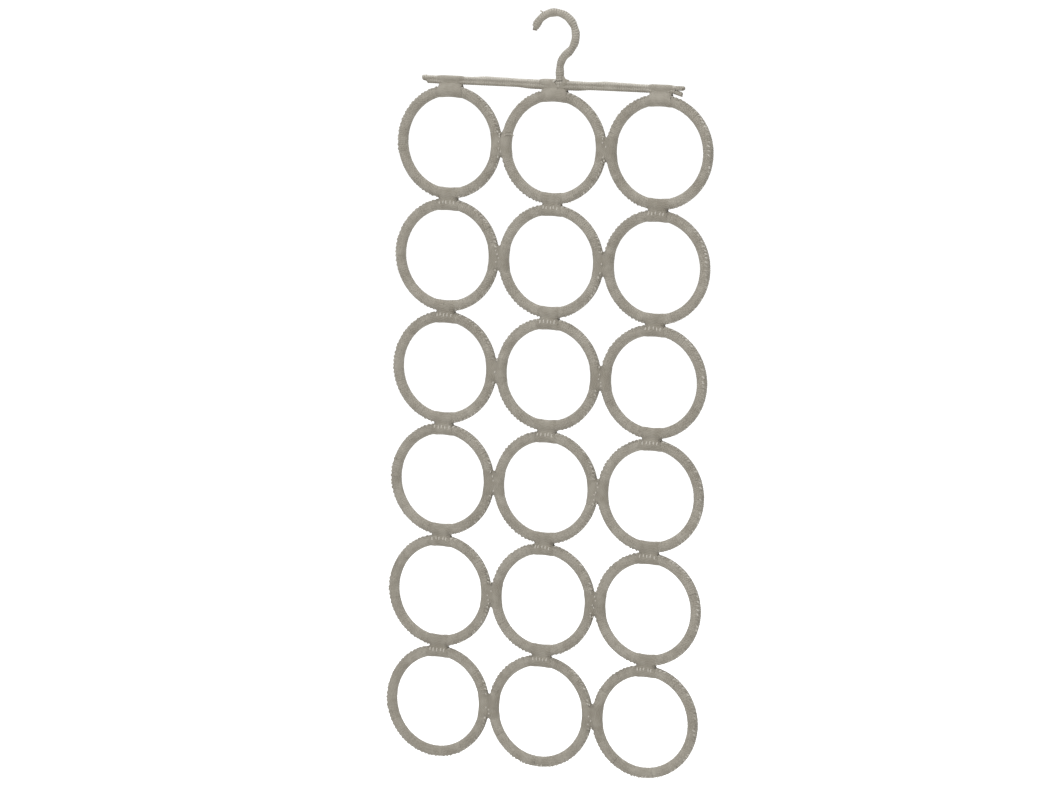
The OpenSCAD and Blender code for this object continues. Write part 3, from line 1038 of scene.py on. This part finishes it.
def oval_point(share, half_height, radius):
    """Depth, height and normal at a share of an upright oval with straight sides."""
    straight = 2 * (half_height - radius)
    arc = math.pi * radius
    share %= 1.0
    s = share * 2 * (straight + arc)
    if s > straight + arc:
        point, normal = oval_point(share - 0.5, half_height, radius)
        return -point, -normal
    if s < arc:
        a = s / radius
        y, z = radius * math.cos(a), straight / 2 + radius * math.sin(a)
        return Vector((0, y, z)), Vector((0, math.cos(a), math.sin(a)))
    z = straight / 2 - (s - arc)
    pulled = math.cos(math.pi * z / max(straight, radius)) ** 2 * min(1.0, straight / radius)
    return Vector((0, BAR_WAIST * pulled - radius, z)), Vector((0, -1, 0))


# Small humps on the bar's top edge: place from the middle ring, height and half length
BAR_HUMPS = ((-64 * MM, 0.8 * MM, 9 * MM), (-47 * MM, 0.7 * MM, 16 * MM),
             (45.5 * MM, 0.7 * MM, 8 * MM), (59 * MM, 0.6 * MM, 16 * MM))


def hump_at(x, normal):
    """Height that the bar's humps add at a place along it, most on top."""
    x -= RING_MIDDLE.x
    rise = sum(h * math.exp(-((x - at) / half) ** 2) for at, h, half in BAR_HUMPS)
    return rise * max(0.0, normal.z) ** 2


def eased(share):
    """A smooth step from 0 to 1."""
    share = max(0.0, min(1.0, share))
    return share * share * (3 - 2 * share)


# Radius of the wrap where only the upper wire is left, how much closer it lies at the tip,
# and the length of that part
TIP_R = 2.15 * MM
TIP_CLOSE = 0.55 * MM
LEFT_STUB = 2.6 * MM
# How much closer the wrap lies at the bar's right end
FORK_CLOSE = 0.35 * MM
# Lengths over which the cover narrows at its ends
LEFT_TAPER = 3 * MM
RIGHT_TAPER = 2.5 * MM
# How far the cover reaches past the sleeve: to the left on the upper wire, and to the right
# where the wires part
PAST_SLEEVE = 4.6 * MM
PAST_FORK = 3.6 * MM


def cover_route(pitch, inset):
    """The winding round the bar: both wires, and at the left end the upper one alone."""
    start = BAR_MIDDLE.x - BAR_HALF.x - PAST_SLEEVE
    end = BAR_MIDDLE.x + BAR_HALF.x + PAST_FORK
    upper_wire = middle_and_half("bar_upper_wire")[0].z
    full_height, full_r = BAR_HALF.z + inset, BAR_HALF.y + inset
    route = []
    for i in range(int((end - start) / pitch * WRAP_STEPS) + 1):
        x = start + pitch * i / WRAP_STEPS
        full = eased((x - start - LEFT_STUB) / LEFT_TAPER)
        close = FORK_CLOSE * (1 - eased((end - x) / RIGHT_TAPER))
        close += TIP_CLOSE * (1 - eased((x - start) / MM))
        radius = TIP_R + (full_r - TIP_R) * full - close
        height = TIP_R + (full_height - TIP_R) * full - close
        point, normal = oval_point(i / WRAP_STEPS, height, radius)
        middle = upper_wire + (BAR_MIDDLE.z - upper_wire) * full
        route.append((Vector((x, point.y, middle + point.z + hump_at(x, normal))), normal))
    return route


# How much the second layer adds below the bar and above it, and the length of its ends' taper
BINDING_BELOW = 1.0 * MM
BINDING_ABOVE = 0.3 * MM
BINDING_TAPER = 15 * MM


def binding_route(pitch, inset):
    """The second layer at the bar's middle, which swells downwards."""
    start, end = BINDING_MIDDLE.x - BINDING_HALF.x, BINDING_MIDDLE.x + BINDING_HALF.x
    route = []
    for i in range(int((end - start) / pitch * WRAP_STEPS) + 1):
        x = start + pitch * i / WRAP_STEPS
        point, normal = oval_point(i / WRAP_STEPS, BAR_HALF.z + inset, BAR_HALF.y + inset)
        swell = eased(min(x - start, end - x) / BINDING_TAPER)
        extra = BINDING_ABOVE + (BINDING_BELOW - BINDING_ABOVE) * (1 - normal.z) / 2
        point = point + normal * (extra * swell)
        route.append((Vector((x, point.y, BAR_MIDDLE.z + point.z + hump_at(x, normal))), normal))
    return route


def wound(line, radius_at):
    """A winding round a line of points and directions, spaced for WRAP_STEPS to a turn.
    radius_at takes the turns that are left to the line's end."""
    route = []
    for i, (point, direction) in enumerate(line):
        a = FULL * i / WRAP_STEPS
        normal = DEPTH.cross(direction) * math.cos(a) + DEPTH * math.sin(a)
        route.append((point + normal * radius_at((len(line) - 1 - i) / WRAP_STEPS), normal))
    return route


def straight_line(start, direction, length, step):
    """Points along a straight line, each with its direction."""
    return [(start + direction * (i * step), direction) for i in range(int(length / step) + 1)]


# Radius to the middle of the yarn on the bar's two right ends, and the wire it leaves bare
STUB_R = 1.6 * MM
STUB_BARE = 0.8 * MM
# How far that yarn starts inside the cover's, and where the lower wire turns down, from the
# end of the sleeve
STUB_LAP = 1.2 * MM
FORK_START = 0.7 * MM
# Directions of the two wires at the right end
FORK = (("bar_upper_wire", Vector((1, 0, 0))), ("bar_lower_wire", Vector((0.96, 0, -0.28))))


def stub_lines(pitch):
    """Middle lines of the yarn on the bar's two right ends."""
    lines = []
    sleeve_end = BAR_MIDDLE.x + BAR_HALF.x
    start_x = sleeve_end + PAST_FORK - STUB_LAP
    for node, direction in FORK:
        low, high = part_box(node)
        wire_r = (high.y - low.y) / 2
        start = Vector((start_x, 0, high.z - wire_r))
        start.z += direction.z / direction.x * (start_x - sleeve_end - FORK_START)
        length = (high.x - start_x) / direction.x - STUB_BARE
        lines.append(straight_line(start, direction, length, pitch / WRAP_STEPS))
    return lines


# How much darker the bar's yarn is than the rings', and how much lighter on top: together a
# painted shade on its underside and painted light on its top, as if lit from above
BAR_LIFT = -0.3
BAR_TOP_LIFT = 1.1


class HANGER_OT_bar_wraps(bpy.types.Operator):
    """Make the yarn wound round the bar and its second layer at the middle"""

    bl_idname = "hanger.bar_wraps"
    bl_label = "Bar wraps"

    def execute(self, context):
        sizes = context.scene.hanger_yarn
        width, thickness = sizes.wrap_width, sizes.wrap_thickness
        pitch = width * WRAP_PITCH
        inset = WRAP_PROUD - thickness / 2
        for name, node, maker in (("bar_wrap", "bar_cover", cover_route),
                                  ("bar_second_wrap", "bar_binding", binding_route)):
            yarn_along(name, [maker(pitch, inset)], width, thickness, "bar", [node],
                       lift=BAR_LIFT, top_lift=BAR_TOP_LIFT)
        ends = [wound(line, lambda left: STUB_R) for line in stub_lines(pitch)]
        yarn_along("bar_end_wraps", ends, width, thickness, "bar", [])
        return {"FINISHED"}


# Height above the bar's middle at which the hook's wrap starts, and how far round the bowl
# it reaches
STEM_START = 3.0 * MM
BOWL_COVER_END = math.radians(163)
# How far the wrap swells and shrinks along the hook, and how fast, for each turn
HOOK_LUMPS = 0.3 * MM
LUMP_RATES = (1.05, 0.31)
# How much closer its last turns lie, and how many they are
HOOK_TIP_CLOSE = 0.7 * MM
HOOK_TIP_TURNS = 2.5
HOOK_UNEVEN = 0.35
# Painted light: how much lighter the hook's yarn is painted on its upward faces
HOOK_TOP_LIFT = 0.3


def hook_line(step):
    """Points along the middle of the hook's wire, up the stem and round to the end of
    its cover, each with its direction."""
    neck_x = math.cos(NECK_TURN) * (BOWL_R + NECK_R)
    neck_z = -math.sin(NECK_TURN) * (BOWL_R + NECK_R)
    stem = neck_z - (BAR_MIDDLE.z + STEM_START)
    neck = NECK_R * NECK_TURN
    bowl = BOWL_R * (BOWL_COVER_END + NECK_TURN)
    line = []
    for i in range(int((stem + neck + bowl) / step) + 1):
        s = i * step
        if s < stem:
            line.append((Vector((HOOK_STEM_X, 0, neck_z - stem + s)), UP.copy()))
        elif s < stem + neck:
            a = (s - stem) / NECK_R
            line.append((Vector((neck_x - NECK_R * math.cos(a), 0, neck_z + NECK_R * math.sin(a))),
                         Vector((math.sin(a), 0, math.cos(a)))))
        else:
            a = (s - stem - neck) / BOWL_R - NECK_TURN
            line.append((Vector((BOWL_R * math.cos(a), 0, BOWL_R * math.sin(a))),
                         Vector((-math.sin(a), 0, math.cos(a)))))
    return line


class HANGER_OT_hook_wrap(bpy.types.Operator):
    """Make the yarn wound round the hook"""

    bl_idname = "hanger.hook_wrap"
    bl_label = "Hook wrap"

    def execute(self, context):
        sizes = context.scene.hanger_yarn
        width, thickness = sizes.wrap_width, sizes.wrap_thickness
        radius = COVER_HALF_DEPTH + WRAP_PROUD - thickness / 2

        def radius_at(left):
            lumps = HOOK_LUMPS * math.sin(LUMP_RATES[0] * left) * math.sin(LUMP_RATES[1] * left + 1)
            return radius + lumps - HOOK_TIP_CLOSE * (1 - min(1.0, left / HOOK_TIP_TURNS)) ** 2

        route = wound(hook_line(width * WRAP_PITCH / WRAP_STEPS), radius_at)
        yarn_along("hook_wrap", [route], width, thickness, "bar", ["hook_cover"], HOOK_UNEVEN,
                   top_lift=HOOK_TOP_LIFT)
        return {"FINISHED"}


# Loose ends and single threads that the photograph shows: a tail of a side lashing that hangs
# into the first row's middle ring, a nib of yarn on the hook's back, a fillet of yarn right of
# the stem's foot and a stitch left of it. Each with its body, width, brightness and points, in
# millimetres. The brightness of the nib and of the stitch is a painted highlight.
LOOSE_ENDS = {
    "side_tail": ("row_1", 1.3, 0.1, (
        (-42.6, -4.9, -86.2), (-41.0, -5.1, -85.2), (-39.0, -4.9, -84.8), (-37.0, -4.4, -84.7),
        (-35.4, -4.1, -85.2), (-34.6, -4.0, -86.4))),
    "hook_nib": ("bar", 1.3, 0.3, (
        (-10.9, -1.6, 18.6), (-11.5, -2.2, 19.3), (-12.3, -2.3, 19.7), (-13.1, -2.2, 19.9))),
    "foot_fillet": ("bar", 3.0, -0.1, (
        (7.9, -0.6, -34.0), (8.6, -0.7, -35.9), (9.8, -0.8, -37.3), (11.8, -0.8, -38.3),
        (13.6, -0.8, -38.7))),
    "foot_stitch": ("bar", 1.6, 0.9, (
        (0.4, -3.0, -39.3), (1.2, -3.5, -38.5), (2.0, -3.5, -37.7), (2.6, -2.8, -37.0))),
}
LOOSE_UNEVEN = 0.5


class HANGER_OT_loose_ends(bpy.types.Operator):
    """Make the loose ends of yarn"""

    bl_idname = "hanger.loose_ends"
    bl_label = "Loose ends"

    def execute(self, context):
        for name, (body, width, lift, points) in LOOSE_ENDS.items():
            route = [(Vector(point) * MM, -DEPTH) for point in points]
            threads_along(name, [route], width * MM, body, lift, LOOSE_UNEVEN)
        return {"FINISHED"}


class HANGER_OT_bare_parts(bpy.types.Operator):
    """Finish the wires and the hoops, which keep their own shapes"""

    bl_idname = "hanger.bare_parts"
    bl_label = "Bare parts"

    def execute(self, context):
        for name, piece in frame["nodes"].items():
            if name.endswith("_wire"):
                finish = material_of("painted_wire", wire_material)
            elif name.endswith("_hoop"):
                finish = material_of("moulded_hoop", hoop_material)
            else:
                continue
            piece.data.materials.clear()
            piece.data.materials.append(finish)
        return {"FINISHED"}


# How white the floor is in the light, and how much it glows where it is seen
FLOOR_WHITE = 0.9
FLOOR_GLOW = 0.62


def floor_material():
    """White that shows as white to the camera and in reflections, and keeps shadows."""
    material, build, shader = new_material("white_floor")
    build.feed(shader, {
        "Base Color": opaque((FLOOR_WHITE,) * 3),
        "Roughness": 1.0,
        "Specular IOR Level": 0.0,
        "Emission Color": opaque((1, 1, 1)),
        "Emission Strength": build.seen() * FLOOR_GLOW,
    })
    return material


# The point the camera looks at, from the middle ring of the first row
CAMERA_TARGET = Vector((-19.3 * MM, 0, -210.2 * MM))
# Each lamp's share of the key lamp's power, its width, and its place from the object's middle
LAMPS = {
    "key_lamp": (1.0, 1.6, (-0.5, -1.4, 2.0)),
    "top_lamp": (0.6, 1.4, (0.1, 0.7, 2.1)),
    "fill_lamp": (0.3, 1.6, (1.6, -1.4, 0.3)),
}


class HANGER_OT_stage(bpy.types.Operator):
    """Make the floor, the lights and the camera"""

    bl_idname = "hanger.stage"
    bl_label = "Stage"

    def execute(self, context):
        stage = context.scene.hanger_stage
        self.floor(stage)
        self.lights(context.scene, stage)
        self.camera(context.scene, stage)
        context.scene.view_settings.view_transform = "Standard"
        return {"FINISHED"}

    def floor(self, stage):
        half = stage.floor_size / 2
        level = CAD_BOX[0].z - stage.floor_drop
        corners = [(x * half, y * half, level) for x, y in ((-1, -1), (1, -1), (1, 1), (-1, 1))]
        mesh = bpy.data.meshes.new("floor")
        mesh.from_pydata(corners, [], [(0, 1, 2, 3)])
        mesh.materials.append(floor_material())
        new_object("floor", mesh)

    def lights(self, scene, stage):
        """Soft square lamps that look at the object, and a pale room that is seen as white."""
        middle = (CAD_BOX[0] + CAD_BOX[1]) / 2
        for name, (share, size, place) in LAMPS.items():
            light = bpy.data.lights.new(name, "AREA")
            light.energy = stage.key_power * share
            light.size = size
            lamp = new_object(name, light)
            lamp.location = middle + Vector(place)
            lamp.rotation_euler = (-Vector(place)).to_track_quat("-Z", "Y").to_euler()
        world = bpy.data.worlds.new("pale_room")
        world.use_nodes = True
        scene.world = world
        build = Build(world.node_tree)
        build.feed(world.node_tree.nodes["Background"], {
            "Color": opaque((1, 1, 1)),
            "Strength": build.seen() * (1 - stage.world_strength) + stage.world_strength,
        })

    def camera(self, scene, stage):
        azimuth, elevation = stage.camera_azimuth, stage.camera_elevation
        back = Vector((math.sin(azimuth) * math.cos(elevation),
                       -math.cos(azimuth) * math.cos(elevation), math.sin(elevation)))
        data = bpy.data.cameras.new("camera")
        data.lens = stage.camera_lens
        camera = new_object("camera", data)
        camera.location = RING_MIDDLE + CAMERA_TARGET + back * stage.camera_distance
        camera.rotation_mode = "QUATERNION"
        turn = (-back).to_track_quat("-Z", "Y")
        camera.rotation_quaternion = turn @ Quaternion(UP, stage.camera_roll)
        scene.camera = camera


OPERATORS = (HANGER_OT_ring_covers, HANGER_OT_lashings, HANGER_OT_bar_wraps, HANGER_OT_hook_wrap,
             HANGER_OT_loose_ends, HANGER_OT_bare_parts, HANGER_OT_stage)
GROUPS = {"hanger_yarn": YarnSizes, "hanger_colours": FinishColours, "hanger_stage": StageSizes}


class HANGER_PT_panel(bpy.types.Panel):
    """The sizes, the colours and the steps of the hanger"""

    bl_idname = "HANGER_PT_panel"
    bl_label = "Scarf Hanger"
    bl_space_type = "VIEW_3D"
    bl_region_type = "UI"
    bl_category = "Hanger"

    def draw(self, context):
        for operator in OPERATORS:
            self.layout.operator(operator.bl_idname)
        for name, group in GROUPS.items():
            box = self.layout.box()
            for title in group.__annotations__:
                box.prop(getattr(context.scene, name), title)


def register():
    for group in (*GROUPS.values(), *OPERATORS, HANGER_PT_panel):
        bpy.utils.register_class(group)
    for name, group in GROUPS.items():
        setattr(bpy.types.Scene, name, PointerProperty(type=group))


def unregister():
    for name in GROUPS:
        delattr(bpy.types.Scene, name)
    for group in reversed((*GROUPS.values(), *OPERATORS, HANGER_PT_panel)):
        bpy.utils.unregister_class(group)


def main():
    register()
    bpy.ops.hanger.stage()
    bpy.ops.hanger.ring_covers()
    bpy.ops.hanger.lashings()
    bpy.ops.hanger.bar_wraps()
    bpy.ops.hanger.hook_wrap()
    bpy.ops.hanger.loose_ends()
    bpy.ops.hanger.bare_parts()


if __name__ == "__main__":
    main()
